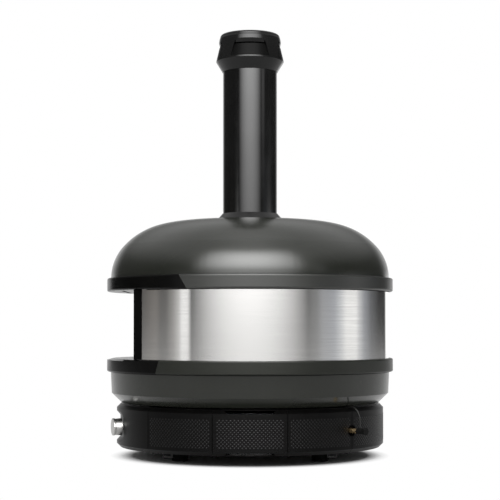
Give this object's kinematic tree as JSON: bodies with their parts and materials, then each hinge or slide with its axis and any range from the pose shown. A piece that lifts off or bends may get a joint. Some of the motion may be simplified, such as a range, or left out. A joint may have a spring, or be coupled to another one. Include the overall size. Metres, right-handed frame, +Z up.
{
  "type": "outdoor pizza oven",
  "caption": "Round gas pizza oven for a table: a domed, insulated chamber with an open front mouth, on a round base, with a tall capped flue.",
  "frame": {"origin": "on the dome's upright axis, at the level of the feet's soles", "axes": "+Z up; the mouth faces -Y; +X is the object's right as seen from its front"},
  "size_m": [0.61, 0.6099, 0.9015],
  "materials": {
    "body_paint": "satin dark olive-grey powder coat",
    "flue_enamel": "gloss black enamel",
    "mouth_black": "satin black heat-proof paint",
    "brushed_band": "horizontally brushed stainless steel",
    "liner_steel": "dull stainless steel, heat tinted",
    "structure_steel": "galvanised sheet steel",
    "base_plastic": "moulded black plastic, matte",
    "inner_plastic": "plain black plastic",
    "foot_rubber": "black rubber",
    "knob_metal": "satin anodised aluminium",
    "brass": "turned brass",
    "fastener_steel": "zinc-plated steel",
    "stone": "fired ceramic, sand coloured",
    "board": "ceramic fibre board and blanket"
  },
  "bodies": {
    "oven": {"foot_front_right": "foot_rubber", "foot_rear_right": "foot_rubber", "foot_front_left": "foot_rubber", "foot_rear_left": "foot_rubber", "foot_screws": "fastener_steel", "stand_loops": "mouth_black", "base_pan": "mouth_black", "pan_screws": "mouth_black", "base_posts": "inner_plastic", "base_deck": "mouth_black", "front_panel": "base_plastic", "right_front_panel": "base_plastic", "right_centre_panel": "base_plastic", "right_rear_panel": "base_plastic", "left_front_panel": "base_plastic", "left_centre_panel": "base_plastic", "left_rear_panel": "base_plastic", "rear_panel": "base_plastic", "plinth_ring": "mouth_black", "valve_bracket": "structure_steel", "valve_body": "brass", "valve_nut": "brass", "inlet_fitting": "brass", "cap_tether": "foot_rubber", "gas_feed_pipe": "structure_steel", "gas_riser": "structure_steel", "gas_injector": "brass", "ignition_unit": "inner_plastic", "igniter_electrode": "structure_steel", "thermocouple": "structure_steel", "lower_shell": "body_paint", "lower_ring": "body_paint", "landing_trim": "mouth_black", "steel_band": "brushed_band", "upper_ring": "body_paint", "visor_trim": "mouth_black", "mouth_frame": "mouth_black", "mouth_throat": "mouth_black", "wall_insulation": "board", "hearth_tray": "structure_steel", "floor_insulation": "board", "baking_stone": "stone", "hearth_surround": "stone", "oven_liner": "liner_steel", "dome_insulation": "board", "dome_shell": "body_paint", "burner_tube": "liner_steel", "burner_saddles": "structure_steel", "flame_guard": "liner_steel", "flue_collar": "body_paint", "flue_duct": "liner_steel"},
    "flue": {"flue_tube": "flue_enamel", "flue_liner": "liner_steel", "flue_spacers": "structure_steel", "cap_shell": "flue_enamel", "cap_sleeve": "flue_enamel"},
    "valve_plug": {"valve_plug": "brass"},
    "gas_knob": {"knob": "knob_metal", "knob_stem": "fastener_steel"},
    "inlet_cap": {"inlet_cap": "foot_rubber"}
  },
  "joints": [
    {"name": "flue_lift", "type": "slide", "parent": "oven", "child": "flue", "axis": [0, 0, 1], "range_m": [0, 0.045]},
    {"name": "valve_turn", "type": "hinge", "parent": "oven", "child": "valve_plug", "pos_m": [0.07017, -0.22951, 0.0657], "axis": [0.2924, -0.9563, 0], "range_deg": [0, 180]},
    {"name": "knob_push", "type": "slide", "parent": "valve_plug", "child": "gas_knob", "axis": [-0.2924, 0.9563, 0], "range_m": [0, 0.0035], "stiffness_N_per_m": 800, "springref_m": -0.004},
    {"name": "inlet_cap_pull", "type": "slide", "parent": "oven", "child": "inlet_cap", "axis": [0.6947, 0.7193, 0], "range_m": [0, 0.02]}
  ]
}
